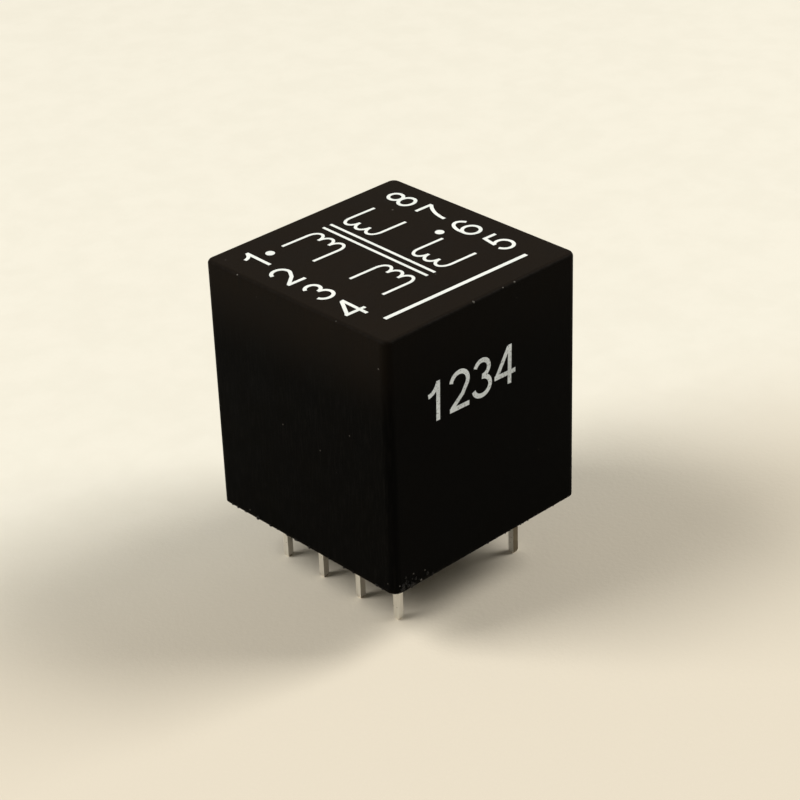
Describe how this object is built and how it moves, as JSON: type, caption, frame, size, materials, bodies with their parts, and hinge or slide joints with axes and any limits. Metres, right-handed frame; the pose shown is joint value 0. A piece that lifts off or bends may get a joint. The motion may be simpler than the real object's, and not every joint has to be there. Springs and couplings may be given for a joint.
{
  "type": "pcb transformer",
  "caption": "Small encapsulated transformer for a printed circuit board, in a plain black moulded case with two rows of square tinned pins beneath.",
  "frame": {"origin": "centre of the seating plane, where the rim of the case meets the board", "axes": "+Z away from the board, X across the two rows of pins, Y along the rows; pins 1 to 4 on the -X side"},
  "size_m": [0.0236, 0.0236, 0.0319],
  "materials": {
    "case_plastic": "matte, fine-grained moulding",
    "compound": "smooth cast",
    "former_plastic": "satin moulding",
    "core_steel": "oxide-coated sheet",
    "copper": "enamelled wire",
    "tape": "polyester film",
    "solder": "bright solder",
    "tinned_pin": "tinned, slightly dull",
    "print_ink": "pad-printed white ink"
  },
  "bodies": {
    "root": {"case": "case_plastic", "potting": "compound", "bobbin": "former_plastic", "e_laminations": "core_steel", "i_laminations": "core_steel", "primary_winding_a": "copper", "primary_winding_b": "copper", "barrier_tape": "tape", "secondary_winding_a": "copper", "secondary_winding_b": "copper", "outer_tape": "tape", "solder_joints": "solder", "pin_1": "tinned_pin", "pin_2": "tinned_pin", "pin_3": "tinned_pin", "pin_4": "tinned_pin", "pin_5": "tinned_pin", "pin_6": "tinned_pin", "pin_7": "tinned_pin", "pin_8": "tinned_pin"}
  },
  "joints": []
}
